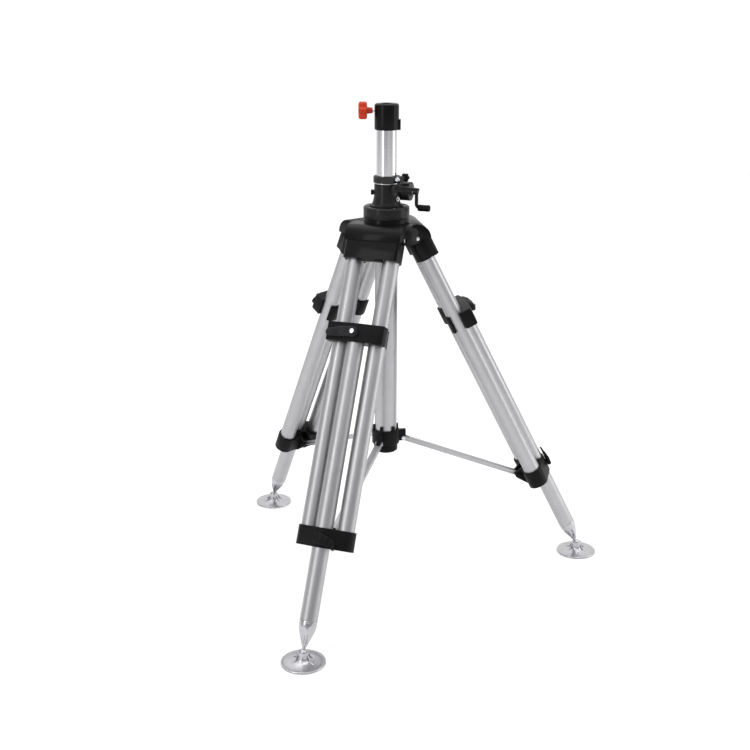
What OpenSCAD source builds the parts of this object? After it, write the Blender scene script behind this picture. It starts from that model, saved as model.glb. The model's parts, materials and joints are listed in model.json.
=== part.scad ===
// Elevating tripod for a construction laser: three folding legs, a hub and three
// struts that spread them, and a column raised by a crank, rack and pinion.
// Origin on the column axis at floor level, +Z up, the front leg towards -Y.
// Leg frames: x outward from the leg's plane, y across the leg, z up along it,
// with the origin on the leg's hinge axis. A distance down the leg is "s".

/* [Stance] */
// Distance of a leg hinge from the column axis
hinge_r = 62; // [60:1:66]
// Height of the leg hinges above the floor
hinge_z = 862; // [840:1:880]
// Angle of each leg from the vertical when it is spread
leg_tilt = 26.8; // [25:0.1:28]
// Height of a foot's ball centre above the floor
ball_z = 24; // [22:0.5:27]

/* [Tubes] */
// Outside diameter of every leg tube
leg_tube_d = 40; // [38:0.5:41]
// Wall thickness of the leg tubes
leg_wall = 2; // [1.5:0.1:3]
// Distance of each outer tube from the middle of its leg
tube_t = 44; // [43:0.5:46]
// How far the sliding tube stands proud of the outer pair
mid_n = 22; // [21:0.5:23]
// Outside diameter of the lift column
column_d = 48; // [46:0.5:48.4]
// Wall thickness of the lift column
column_wall = 3; // [2.5:0.1:4]
// Outside diameter of the fixed guide tube
guide_d = 54; // [53.5:0.1:54.5]

/* [Head] */
// Height of the shoulder casting's top face
flange_bottom_z = 903; // [900:1:905]
// Height of the flange's top face
flange_top_z = 930; // [928:1:932]
// Outside diameter of the flange
flange_d = 109; // [104:1:112]
// Half width of a shoulder and of a leg across its hinge
shoulder_half = 69; // [68:0.5:70]

/* [Lift drive] */
// Height of the crank shaft
shaft_z = 962; // [960:0.5:964]
// Number of teeth on the pinion
pinion_teeth = 12; // [12:1:12]
// Pitch radius of the pinion
pinion_pitch_r = 9; // [9:1:9]
// Distance from the crank shaft to the middle of its grip
crank_throw = 38; // [30:1:44]
// Length of the lift column
column_len = 637; // [600:1:650]

/* [Instrument socket] */
// Diameter of the socket's bore
socket_bore_d = 28.6; // [24:0.1:30]
// Depth of the socket's bore
socket_depth = 45; // [35:1:48]

/* [Feet and spreader] */
// Diameter of a foot plate
foot_d = 100; // [90:1:110]
// Distance down the leg to a strut's lower pivot
strut_s = 690; // [685:1:695]
// Distance of a strut's upper pivot from the column axis
hub_pivot_r = 44; // [43:0.5:46]
// Height of the struts' upper pivots when the legs are spread
hub_pivot_z = 346; // [340:1:352]

/* [Hidden] */
$fn = 64;
eps = 0.5;

// Each leg: name, azimuth, direction of its slide lever and of its lower lever.
// Lever directions turn about the outward normal, 0 pointing up the leg.
front_az = -90;
right_az = 30;
left_az = 150;
LEG_AZ = [front_az, right_az, left_az];
front_levers = [-90, 96];
right_levers = [80, 0];
left_levers = [90, 170];

// Fits
tight = 0.02;
run = 0.05;
slide_gap = 0.3;

// Leg stations, measured down the leg from the hinge axis
tube_r = leg_tube_d / 2;
bore_r = tube_r - leg_wall;
yoke_end_s = 56;
yoke_tube_s = 14;
slide_top_s = 212;
slide_end_s = 255;
lower_top_s = 676;
lower_end_s = 720;
tip_s = 880;
tip_len = 56;
jaw_t = tube_t + tube_r + 4.5;
wrap_r = tube_r + 4.5;
outer_face_n = mid_n + wrap_r - 1;
ball_r = 8;
ball_s = (hinge_z + mid_n * sin(leg_tilt) - ball_z) / cos(leg_tilt);
foot_r = hinge_r + ball_s * sin(leg_tilt) + mid_n * cos(leg_tilt);
strut_n = -33;
lever_pivot_s = 233;
lower_lever_s = 699;

// Struts
strut_foot_r = hinge_r + strut_s * sin(leg_tilt) + strut_n * cos(leg_tilt);
strut_foot_z = hinge_z - strut_s * cos(leg_tilt) + strut_n * sin(leg_tilt);
strut_drop = hub_pivot_z - strut_foot_z;
strut_run = strut_foot_r - hub_pivot_r;
strut_len = sqrt(strut_drop * strut_drop + strut_run * strut_run);
strut_angle = atan2(strut_drop, strut_run);

// Head and lift
column_r = column_d / 2;
guide_r = guide_d / 2;
guide_bore_r = column_r + 1.2;
hood_r = 33;
hood_bore_r = 28.2;
cheek_r = 26.4;
pin_r = 5;
neck_r = 34.5;
lug_half = 19.5;
cheek_half = 60.5;
seam_gap = 0.3;
shaft_y = 31;
shaft_r = 5;
drum_r = 22;
drum_end_x = 46;
housing_top_z = 983.5;
collar_bottom_z = 985;
collar_top_z = 1001;
crank_x = 64;
socket_bottom_z = 1107;
socket_top_z = 1167;
socket_r = 28.5;
column_top_z = 1140;
column_bottom_z = column_top_z - column_len;
clamp_az = 200;
clamp_z = 1151;
brake_z = 975;
brake_x = 30;
friction_az = 201;
collar_screw_az = -10;
collar_screw_r = 36;
collar_screw_z = 995.5;

// Rack and pinion
tooth_pitch = 2 * PI * pinion_pitch_r / pinion_teeth;
rack_pitch_y = shaft_y - pinion_pitch_r;
rack_floor_y = 17;
rack_top_z = 1080;
rack_bottom_z = column_bottom_z + 7;
rack_half = 5;

BLACK = [0.09, 0.09, 0.10];
DARK = [0.17, 0.17, 0.18];
SATIN = [0.80, 0.80, 0.82];
BRIGHT = [0.88, 0.88, 0.90];
STEEL = [0.66, 0.67, 0.70];
BRASS = [0.78, 0.62, 0.30];
ORANGE = [0.86, 0.27, 0.12];

// ---------------------------------------------------------------- frames

// World-aligned frame on a leg's hinge axis: x outward, y across, z up
module on_hinge(az) { rotate([0, 0, az]) translate([hinge_r, 0, hinge_z]) children(); }

// Leg frame, tilted with the spread leg
module on_leg(az) { on_hinge(az) rotate([0, -leg_tilt, 0]) children(); }

// Radial frame: z along the outward radius at an azimuth and height
module on_radius(az, z) { rotate([0, 0, az]) translate([0, 0, z]) rotate([0, 90, 0]) children(); }

// Frame of the collar's clamp screw: z along it, from its bolt head towards its knob
module on_collar_screw() {
  rotate([0, 0, collar_screw_az]) translate([collar_screw_r, 0, collar_screw_z])
    rotate([-90, 0, 0]) children();
}

// A cylinder along y, centred
module bar_y(r, half) { rotate([90, 0, 0]) cylinder(r = r, h = 2 * half, center = true); }

// A cylinder along the leg from station s0 down to s1
module rod_s(r, s0, s1, n, t) { translate([n, t, -s1]) cylinder(r = r, h = s1 - s0); }

// A section in the leg's (n, t) plane, extruded from station s0 down to s1
module slab_s(s0, s1) { translate([0, 0, -s1]) linear_extrude(s1 - s0) children(); }

module ring(outer, inner, h) {
  difference() {
    cylinder(r = outer, h = h);
    translate([0, 0, -eps]) cylinder(r = inner, h = h + 2 * eps);
  }
}

// ---------------------------------------------------------------- head

// The rounded hood over a leg's top, closed at its ends
module shoulder(az) {
  on_hinge(az) {
    intersection() {
      bar_y(hood_r, shoulder_half);
      translate([-20, -shoulder_half - 5, seam_gap]) cube([60, 2 * shoulder_half + 10, 40]);
    }
    translate([-30, -40, 24]) cube([24, 80, 8.2]);
  }
}

// The space in a shoulder that the leg's cheek swings in, on one side of the lug
module cheek_space(az, side) {
  mid = (lug_half + cheek_half + 1) / 2;
  half = (cheek_half + 1 - lug_half) / 2;
  on_hinge(az) translate([0, side * mid, 0]) bar_y(hood_bore_r, half);
}

// Curved skirts that join the shoulders' ends
module skirts() {
  difference() {
    rotate_extrude($fn = 96)
      polygon([[62, 888], [86, 888], [86, 850], [94, 850], [94, 879], [91, 887], [84, 892.5],
               [76, 893.8], [62, 893.8]]);
    for (az = LEG_AZ) on_hinge(az) {
      translate([-4, -shoulder_half + 1, -20]) cube([60, 2 * shoulder_half - 2, 60]);
      translate([-4, -shoulder_half - 1.5, -20]) cube([60, 2 * shoulder_half + 3, 20 + seam_gap]);
    }
  }
}

// The lug that a leg hangs on, and the bosses that hold the ends of its pin
module hinge_supports(az) {
  on_hinge(az) {
    bar_y(17, lug_half);
    translate([-34, -lug_half, -16]) cube([34, 2 * lug_half, 40]);
    for (side = [-1, 1]) translate([0, side * (cheek_half + shoulder_half + 1) / 2, 0])
      bar_y(12, (shoulder_half - cheek_half - 1) / 2);
  }
}

module head_casting() {
  color(BLACK) difference() {
    union() {
      difference() {
        union() {
          translate([0, 0, 889]) cylinder(r = 54, h = flange_bottom_z - 889);
          translate([0, 0, 887.5]) cylinder(r = 66, h = 6);
          for (az = LEG_AZ) shoulder(az);
          skirts();
        }
        for (az = LEG_AZ, side = [-1, 1]) cheek_space(az, side);
      }
      translate([0, 0, 800]) cylinder(r = neck_r, h = 95);
      for (az = LEG_AZ) hinge_supports(az);
    }
    for (az = LEG_AZ) on_hinge(az) bar_y(pin_r + tight, shoulder_half + 4);
    translate([0, 0, 799]) cylinder(r = guide_r + tight, h = flange_bottom_z - 798);
  }
}

module hinge_pins() {
  color(STEEL) for (az = LEG_AZ) on_hinge(az) bar_y(pin_r, shoulder_half + 1);
}

module head_flange() {
  edge = 2.5;
  r = flange_d / 2;
  h = flange_top_z - flange_bottom_z;
  color(DARK) difference() {
    translate([0, 0, flange_bottom_z]) rotate_extrude($fn = 96)
      polygon([[guide_r + tight, 0], [r - 1, 0], [r, 1], [r, h - edge], [r - edge, h],
               [guide_r + tight, h]]);
    for (a = [45:90:315]) rotate([0, 0, a]) translate([44, 0, flange_top_z - 7])
      cylinder(r = 5.2, h = 8);
  }
}

module flange_screws() {
  color(STEEL) for (a = [45:90:315]) rotate([0, 0, a]) translate([44, 0, flange_top_z - 7])
    difference() {
      cylinder(r = 4.8, h = 6);
      translate([0, 0, 3.2]) cylinder(r = 2.3, h = 4, $fn = 6);
    }
}

module guide_tube() {
  color(SATIN) translate([0, 0, 326]) ring(guide_r, guide_bore_r, flange_top_z - 326);
}

module guide_tube_end_cap() {
  color(BLACK) translate([0, 0, 316]) rotate_extrude()
    polygon([[0, 0], [26, 0], [29.5, 3.5], [29.5, 17], [guide_r + tight, 17],
             [guide_r + tight, 9.8], [guide_bore_r - tight, 9.8], [guide_bore_r - tight, 26],
             [20, 26], [20, 12], [0, 12]]);
}

// A plain liner in the guide tube's top, and a flanged one under the collar
module column_bushes() {
  color(SATIN) {
    translate([0, 0, 890]) ring(guide_bore_r - tight, column_r + run, 38);
    translate([0, 0, 980]) ring(guide_bore_r - tight, column_r + run, 19);
    translate([0, 0, housing_top_z]) ring(30, column_r + run, 1.5);
  }
}

module gear_housing() {
  color(DARK) difference() {
    union() {
      translate([0, 0, flange_top_z]) rotate_extrude()
        polygon([[guide_bore_r, 0], [40, 0], [40, 3], [35, 4.5], [32.5, 10], [30.5, 18],
                 [29, 28], [29, housing_top_z - flange_top_z],
                 [guide_bore_r, housing_top_z - flange_top_z]]);
      intersection() {
        translate([-20, shaft_y, shaft_z]) rotate([0, 90, 0])
          cylinder(r = drum_r, h = drum_end_x + 20);
        translate([-30, 0, flange_top_z + 8]) cube([90, 60, housing_top_z - flange_top_z - 8]);
      }
      translate([8, 0, shaft_z - 14]) cube([20, 28, 28]);
      translate([brake_x, -10, brake_z]) rotate([90, 0, 0]) cylinder(r = 8, h = 9.6);
      translate([16, -19.6, brake_z - 8]) cube([brake_x - 16, 16, 8.4]);
      on_radius(friction_az, shaft_z) translate([0, 0, 26]) cylinder(r = 6.5, h = 4);
      on_radius(-14, 948) translate([0, 0, 24]) cylinder(r = 8, h = 8.5);
    }
    translate([0, 0, flange_top_z - 1]) cylinder(r = guide_bore_r, h = 60);
    translate([-9, shaft_y, shaft_z]) rotate([0, 90, 0]) cylinder(r = 12, h = 18);
    translate([-9, guide_bore_r - 8, shaft_z - 11]) cube([18, 8, 22]);
    translate([-16, shaft_y, shaft_z]) rotate([0, 90, 0]) cylinder(r = shaft_r + run, h = 90);
    translate([drum_end_x - 5, shaft_y, shaft_z]) rotate([0, 90, 0])
      cylinder(r = drum_r - 4, h = 6);
    translate([brake_x, -11.5, brake_z]) rotate([90, 0, 0]) cylinder(r = 3 + run, h = 12);
    on_radius(-30, brake_z) translate([0, 0, 20]) cylinder(r = 4 + run, h = 8.9);
    on_radius(friction_az, shaft_z) translate([0, 0, 20]) cylinder(r = 3 + run, h = 14);
  }
}

module gear_case_cover() {
  screw_pcd_r = drum_r - 3.2;
  color(DARK) difference() {
    union() {
      translate([drum_end_x + 0.05, shaft_y, shaft_z]) rotate([0, 90, 0])
        cylinder(r = drum_r, h = 4.5);
      translate([drum_end_x + 4, shaft_y, shaft_z]) rotate([0, 90, 0])
        cylinder(r1 = 13, r2 = 9.5, h = 4.5);
    }
    translate([drum_end_x - 1, shaft_y, shaft_z]) rotate([0, 90, 0])
      cylinder(r = shaft_r + run, h = 14);
    for (a = [30:60:330]) translate([drum_end_x + 3, shaft_y, shaft_z]) rotate([a, 0, 0])
      translate([0, screw_pcd_r, 0]) rotate([0, 90, 0]) cylinder(r = 1.8, h = 2);
  }
}

module column_collar() {
  h = collar_top_z - collar_bottom_z;
  color(DARK) difference() {
    union() {
      translate([0, 0, collar_bottom_z]) rotate_extrude()
        polygon([[guide_bore_r, 0], [29.5, 0], [31, 1.5], [31, h - 2], [29, h],
                 [guide_bore_r, h]]);
      rotate([0, 0, collar_screw_az]) translate([26, -8, collar_bottom_z + 1])
        cube([15, 16, h - 1]);
    }
    translate([0, 0, collar_bottom_z - 1]) cylinder(r = guide_bore_r, h = h + 2);
    rotate([0, 0, collar_screw_az]) translate([0, -0.8, collar_bottom_z - 1])
      cube([60, 1.6, h + 2]);
    on_collar_screw() cylinder(r = 3 + run, h = 40, center = true);
  }
}

// ---------------------------------------------------------------- lift

module lift_column() {
  color(BRIGHT) difference() {
    translate([0, 0, column_bottom_z]) ring(column_r, column_r - column_wall, column_len);
    translate([-rack_half - tight, rack_floor_y, column_bottom_z - 1])
      cube([2 * rack_half + 2 * tight, 10, rack_top_z - column_bottom_z + 1]);
  }
}

// Points of a rack tooth centred on height z
function rack_tooth(z) = [
  [rack_pitch_y - 1.7, z - 1.61], [rack_pitch_y + 1.05, z - 0.6],
  [rack_pitch_y + 1.05, z + 0.6], [rack_pitch_y - 1.7, z + 1.61]];

module column_rack() {
  count = floor((rack_top_z - rack_bottom_z) / tooth_pitch) - 1;
  first = shaft_z + tooth_pitch / 2
    - tooth_pitch * floor((shaft_z - rack_bottom_z) / tooth_pitch);
  teeth = [for (i = [0:count - 1]) each rack_tooth(first + i * tooth_pitch)];
  outline = concat([[rack_floor_y, rack_bottom_z], [rack_pitch_y - 1.7, rack_bottom_z]],
    teeth, [[rack_pitch_y - 1.7, rack_top_z], [rack_floor_y, rack_top_z]]);
  color(STEEL) rotate([90, 0, 90]) translate([0, 0, -rack_half])
    linear_extrude(2 * rack_half) polygon(outline);
}

// Outline of the pinion, one tooth pointing along +x
function pinion_tooth(a) = [for (p = [[7.1, -10.5], [9, -6.3], [10.35, -2.6],
  [10.35, 2.6], [9, 6.3], [7.1, 10.5]]) [p[0] * cos(a + p[1]), p[0] * sin(a + p[1])]];

module pinion_shaft() {
  color(STEEL) translate([0, shaft_y, shaft_z]) rotate([0, 90, 0]) {
    rotate([0, 0, 270]) translate([0, 0, 0.2 - rack_half]) linear_extrude(2 * rack_half - 0.4)
      polygon([for (i = [0:pinion_teeth - 1]) each pinion_tooth(i * 360 / pinion_teeth)]);
    translate([0, 0, -15]) cylinder(r = shaft_r, h = 73);
    translate([0, 0, drum_end_x - 4.6]) cylinder(r = 9, h = 4.2);
  }
}

module crank_arm() {
  rod_r = 4.2;
  color(DARK) translate([0, shaft_y, shaft_z]) {
    translate([crank_x - 7, 0, 0]) rotate([0, 90, 0]) difference() {
      cylinder(r = 7.5, h = 11);
      translate([0, 0, -1]) cylinder(r = shaft_r + tight, h = 2.2);
    }
    translate([crank_x, 0, -crank_throw]) cylinder(r = rod_r, h = crank_throw);
    translate([crank_x, 0, -crank_throw]) sphere(r = rod_r);
    translate([crank_x, 0, -crank_throw]) rotate([0, 90, 0]) cylinder(r = 3, h = 31.5);
    translate([crank_x + 29.5, 0, -crank_throw]) rotate([0, 90, 0]) cylinder(r = 5, h = 2);
  }
}

module crank_grip() {
  color(DARK) translate([crank_x + 4.5, shaft_y, shaft_z - crank_throw]) rotate([0, 90, 0])
    difference() {
      rotate_extrude()
        polygon([[3 + run, 0], [6.5, 0], [7.6, 1.2], [8, 4], [7.4, 14], [8, 24],
                 [7.4, 27.4], [5.6, 28.4], [5.3, 28.4], [5.3, 24.7], [3 + run, 24.7]]);
    }
}

module brake_lever() {
  reach = 59;
  color(DARK) translate([brake_x, -20, brake_z]) rotate([90, 0, 0]) difference() {
    union() {
      cylinder(r = 8, h = 9);
      linear_extrude(8)
        polygon([[0, -6.5], [reach - 2, -3.4], [reach, -1.5], [reach, 1.5],
                 [reach - 2, 3.6], [0, 8]]);
    }
    translate([0, 0, -1]) cylinder(r = 3 + run, h = 12);
  }
  color(STEEL) translate([brake_x, -29.1, brake_z]) rotate([90, 0, 0]) cylinder(r = 5, h = 2.2);
  color(STEEL) translate([brake_x, -12, brake_z]) rotate([90, 0, 0]) cylinder(r = 3, h = 18);
}

module brake_pad() {
  color(BRASS) on_radius(-30, brake_z) intersection() {
    translate([0, 0, 20]) cylinder(r = 4, h = 8.2);
    translate([-10, 0, 0]) rotate([0, 90, 0]) difference() {
      cylinder(r = 40, h = 20);
      translate([0, 0, -1]) cylinder(r = column_r + 0.1, h = 22);
    }
  }
}

module star_knob(r, h, lobes, dip) {
  difference() {
    cylinder(r = r, h = h);
    for (i = [0:lobes - 1]) rotate([0, 0, (i + 0.5) * 360 / lobes])
      translate([r + dip * 0.35, 0, -1]) cylinder(r = dip, h = h + 2);
  }
}

module collar_knob() {
  color(DARK) on_collar_screw() {
    translate([0, 0, 20.5]) star_knob(11, 9, 6, 3.2);
    translate([0, 0, 8.3]) cylinder(r = 5, h = 13);
  }
  color(STEEL) on_collar_screw() {
    translate([0, 0, -14]) cylinder(r = 3, h = 42);
    translate([0, 0, -14.3]) cylinder(r = 5.5, h = 6, $fn = 6);
  }
}

module friction_knob() {
  color(DARK) on_radius(friction_az, shaft_z) {
    translate([0, 0, 30.4]) star_knob(6.2, 6.6, 10, 1);
    translate([0, 0, 25]) cylinder(r = 3, h = 6);
  }
}

// ---------------------------------------------------------------- socket

module instrument_socket() {
  body_h = socket_top_z - socket_bottom_z;
  bore_r = socket_bore_d / 2;
  plug_r = column_r - column_wall - tight;
  color(BLACK) difference() {
    union() {
      translate([0, 0, socket_bottom_z]) rotate_extrude()
        polygon([[column_r + tight, 0], [socket_r - 2, 0], [socket_r, 2],
                 [socket_r, body_h - 3], [socket_r - 3, body_h], [0, body_h],
                 [0, 2], [plug_r, 2], [plug_r, column_top_z - socket_bottom_z + tight],
                 [column_r + tight, column_top_z - socket_bottom_z + tight]]);
      intersection() {
        translate([0, 0, socket_bottom_z]) cylinder(r = socket_r + 4.2, h = 24);
        rotate([0, 0, 20]) translate([24, -9, socket_bottom_z]) cube([20, 18, 24]);
      }
    }
    translate([0, 0, socket_top_z - socket_depth]) cylinder(r = bore_r, h = socket_depth + 1);
    on_radius(clamp_az, clamp_z) translate([0, 0, bore_r - 4]) cylinder(r = 4 + run, h = 30);
    rotate([0, 0, clamp_az]) translate([socket_r - 4, -30, socket_top_z]) rotate([0, 35, 0])
      cube([12, 60, 12]);
    on_radius(20, socket_bottom_z + 12) translate([0, 0, 29]) cylinder(r = 2.6, h = 6, $fn = 6);
  }
}

module socket_clamp_pad() {
  color(BRASS) on_radius(clamp_az, clamp_z)
    translate([0, 0, socket_bore_d / 2 + 0.6]) cylinder(r = 4, h = 4);
}

module socket_clamp_screw() {
  color(STEEL) on_radius(clamp_az, clamp_z)
    translate([0, 0, socket_bore_d / 2 + 4.7]) cylinder(r = 4, h = 24);
}

module socket_clamp_knob() {
  root = socket_r + 4.2;
  color(ORANGE) on_radius(clamp_az, clamp_z) difference() {
    union() {
      translate([0, 0, root]) cylinder(r1 = 6.6, r2 = 8.4, h = 14);
      translate([0, 0, root + 13]) intersection() {
        star_knob(21.5, 20, 6, 7);
        rotate_extrude()
          polygon([[0, 0], [14, 0], [20, 3], [21.5, 7], [21.5, 13], [19, 17.5], [13, 20],
                   [0, 20]]);
      }
    }
    translate([0, 0, root - 1]) cylinder(r = 4 + tight, h = 11.5);
  }
}

// ---------------------------------------------------------------- spreader

module spreader_hub() {
  color(BLACK) difference() {
    union() {
      translate([0, 0, 334]) rotate_extrude()
        polygon([[guide_r + slide_gap, 0], [31, 0], [34, 3], [34, 36], [32, 38],
                 [guide_r + slide_gap, 38]]);
      for (az = LEG_AZ) rotate([0, 0, az]) {
        translate([30, -5.3, hub_pivot_z]) cube([20, 10.6, 22]);
        translate([30, -5.3, hub_pivot_z - 7]) cube([hub_pivot_r - 30, 10.6, 14]);
        translate([hub_pivot_r, 0, hub_pivot_z]) bar_y(7, 5.3);
      }
      for (i = [0:5]) rotate([0, 0, 30 + i * 60])
        translate([guide_r + slide_gap + 0.2, -4, 371]) cube([3.4, 8, 13]);
    }
    translate([0, 0, 333]) cylinder(r = guide_r + slide_gap, h = 60);
    for (az = LEG_AZ) rotate([0, 0, az])
      translate([hub_pivot_r, 0, hub_pivot_z]) bar_y(3 + run, 6);
  }
}

// Frame of a strut: x along it from the hub pivot, z across its height
module on_strut(az) {
  rotate([0, 0, az]) translate([hub_pivot_r, 0, hub_pivot_z]) rotate([0, strut_angle, 0])
    children();
}

module strut(az) {
  half = 7.5;
  wall = 1.9;
  rise = 5.5;
  color(SATIN) on_strut(az) difference() {
    union() {
      translate([0, -half, -rise]) cube([strut_len, 2 * half, 2 * rise]);
      bar_y(rise, half);
      translate([strut_len, 0, 0]) bar_y(rise, half);
    }
    translate([-rise - 1, wall - half, -rise - 1])
      cube([strut_len + 2 * rise + 2, 2 * (half - wall), 2 * rise - 0.8]);
    translate([-rise - 1, wall - half, -rise - 1]) cube([rise + 15, 2 * (half - wall), 14]);
    bar_y(3 + tight, half + 1);
    translate([strut_len, 0, 0]) bar_y(3.4, half + 1);
  }
}

module strut_pin(az) {
  color(STEEL) on_strut(az) {
    bar_y(3, 8.4);
    for (side = [-1, 1]) translate([0, side * 8.3, 0]) bar_y(4.6, 0.75);
  }
}

// ---------------------------------------------------------------- legs

// Straight fill between the wraps of an outer tube and of the middle tube
module wrap_web(side) {
  span = sqrt(mid_n * mid_n + tube_t * tube_t);
  out_n = tube_t / span;
  out_t = mid_n / span;
  mid_r = wrap_r - 1;
  polygon([[wrap_r * out_n, side * (tube_t + wrap_r * out_t)],
           [mid_n + mid_r * out_n, side * mid_r * out_t], [mid_n, 0], [0, 0],
           [0, side * tube_t]]);
}

// Outline of a bracket round the three tubes
module bracket_outline(back_n, gap_half) {
  for (side = [-1, 1]) {
    translate([0, side * tube_t]) circle(r = wrap_r);
    wrap_web(side);
  }
  translate([mid_n, 0]) circle(r = wrap_r - 1);
  difference() {
    translate([back_n, -tube_t]) square([mid_n - back_n, 2 * tube_t]);
    translate([back_n - 1, -gap_half]) square([-3 - back_n, 2 * gap_half]);
  }
}

module yoke(az) {
  color(BLACK) on_leg(az) difference() {
    union() {
      difference() {
        union() {
          slab_s(yoke_tube_s - 1, yoke_end_s) {
            for (side = [-1, 1]) translate([0, side * tube_t]) circle(r = 25);
            difference() {
              translate([0, -66]) square([31, 132]);
              for (side = [-1, 1]) translate([31, side * 66]) rotate([0, 0, 45])
                square([8, 8], center = true);
            }
          }
          slab_s(-2, yoke_tube_s) translate([13, -66]) square([18, 132]);
          slab_s(yoke_end_s - 1, yoke_end_s + 6) translate([21, -30]) square([9, 60]);
        }
        rotate([0, leg_tilt, 0]) translate([-100, -100, 0]) cube([200, 200, 80]);
      }
      for (side = [-1, 1]) translate([0, side * (lug_half + 1 + cheek_half) / 2, 0])
        bar_y(cheek_r, (cheek_half - lug_half - 1) / 2);
    }
    translate([-40, -lug_half - 1, -70]) cube([60, 2 * lug_half + 2, 110]);
    for (side = [-1, 1]) rod_s(tube_r + tight, yoke_tube_s, 90, 0, side * tube_t);
    for (side = [-1, 1]) rod_s(tube_r + 0.8, yoke_end_s - 3, 90, 0, side * tube_t);
    bar_y(pin_r + run, 80);
    for (side = [-1, 1]) translate([0, side * (cheek_half + 7), 0]) bar_y(13, 6.6);
  }
}

module outer_tubes(az) {
  color(SATIN) on_leg(az) for (side = [-1, 1]) translate([0, side * tube_t, -lower_end_s + 4])
    ring(tube_r, bore_r, lower_end_s - 4 - yoke_tube_s);
}

module lower_bracket(az) {
  ear_in = 9;
  ear_out = 14;
  color(BLACK) on_leg(az) difference() {
    union() {
      slab_s(lower_top_s, lower_end_s) bracket_outline(-23, ear_in);
      for (side = [-1, 1]) translate([0, side * (ear_in + ear_out) / 2, 0])
        rotate([90, 0, 0]) translate([0, 0, (ear_in - ear_out) / 2]) linear_extrude(ear_out - ear_in) {
          translate([strut_n, -strut_s]) circle(r = 9.5);
          polygon([[-8, -lower_top_s + 4], [strut_n - 4, -strut_s + 8.6],
                   [strut_n - 8, -strut_s - 5], [-22, -lower_end_s - 4], [-8, -lower_end_s]]);
        }
      for (side = [-1, 1]) translate([strut_n, side * (ear_out + 0.9), -strut_s]) bar_y(5, 1);
      translate([outer_face_n - 6, 0, -lower_lever_s]) rotate([0, 90, 0])
        cylinder(r = 9, h = 6.8);
      translate([outer_face_n - 2, 0, -lower_lever_s]) rotate([0, 90, 0])
        cylinder(r = 4, h = 12);
    }
    for (side = [-1, 1]) rod_s(tube_r + tight, lower_top_s - 1, lower_end_s - 4, 0, side * tube_t);
    rod_s(tube_r + slide_gap, lower_top_s - 20, lower_end_s + 20, mid_n, 0);
  }
}

// Bar of the slide bracket: square ends, front face bowed over the middle tube
module slide_bar() {
  polygon([[0, -jaw_t], [38.5, -jaw_t], [41.5, -50], [44.5, -25], [outer_face_n, 0],
           [44.5, 25], [41.5, 50], [38.5, jaw_t], [0, jaw_t]]);
}

module slide_bracket(az) {
  color(BLACK) on_leg(az) difference() {
    union() {
      slab_s(slide_top_s, slide_end_s) {
        bracket_outline(-19, 19);
        slide_bar();
      }
      translate([outer_face_n - 6, 0, -lever_pivot_s]) rotate([0, 90, 0])
        cylinder(r = 12, h = 6.8);
    }
    for (side = [-1, 1]) {
      rod_s(tube_r + slide_gap, slide_top_s - 9, slide_end_s + 9, 0, side * tube_t);
      translate([-17, side * 64 - 20, -slide_end_s - 1]) cube([27, 40, 60]);
    }
    rod_s(tube_r + tight, slide_top_s + 4, slide_end_s + 1, mid_n, 0);
    translate([outer_face_n - 3, 0, -lever_pivot_s]) rotate([0, 90, 0])
      cylinder(r = 3 + tight, h = 12);
  }
}

module inner_tube(az) {
  color(SATIN) on_leg(az) translate([mid_n, 0, -tip_s]) ring(tube_r, bore_r, tip_s - slide_top_s - 4.1);
}

// Profile of a clamp lever: height above its seat against reach from the pivot
module lever(az, s, angle, seat_n, reach, root_h, dip) {
  on_leg(az) translate([seat_n, 0, -s]) rotate([-angle, 0, 0]) intersection() {
    rotate([90, 0, 0]) linear_extrude(40, center = true)
      polygon([[0, -14], [root_h - 1, -14], [root_h, -11], [root_h + 1, 8],
               [root_h - 0.5, reach * 0.45], [root_h - 3 - dip * 0.35, reach * 0.75],
               [5 - dip * 0.85, reach], [-dip, reach], [1 - dip * 0.45, reach * 0.75],
               [0.5 - dip * 0.1, reach * 0.45], [0, 12]]);
    rotate([0, 90, 0]) translate([0, 0, -20]) union() {
      cylinder(r = 11.8, h = 60);
      translate([0, 0, 1]) linear_extrude(58)
        polygon([[-1, -11.4], [-reach * 0.5, -11.4], [-reach * 0.9, -9], [-reach - 1, -5],
                 [-reach - 1, 5], [-reach * 0.9, 9], [-reach * 0.5, 11.4], [-1, 11.4]]);
    }
  }
}

module slide_lever(az, angle) {
  color(DARK) difference() {
    lever(az, lever_pivot_s, angle, outer_face_n + 1, 68, 10.5, 5.5);
    on_leg(az) translate([outer_face_n - 2, 0, -lever_pivot_s]) rotate([0, 90, 0])
      cylinder(r = 3 + run, h = 30);
  }
}

module lever_screw(az) {
  color(STEEL) on_leg(az) translate([outer_face_n - 2.9, 0, -lever_pivot_s]) rotate([0, 90, 0]) {
    cylinder(r = 3, h = 16);
    translate([0, 0, 15.6]) cylinder(r = 5.5, h = 2.4);
  }
}

module lower_lever(az, angle) {
  color(BLACK) difference() {
    lever(az, lower_lever_s, angle, outer_face_n + 1, 40, 9, 0);
    on_leg(az) translate([outer_face_n - 2, 0, -lower_lever_s]) rotate([0, 90, 0])
      cylinder(r = 4 + run, h = 30);
  }
}

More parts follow.
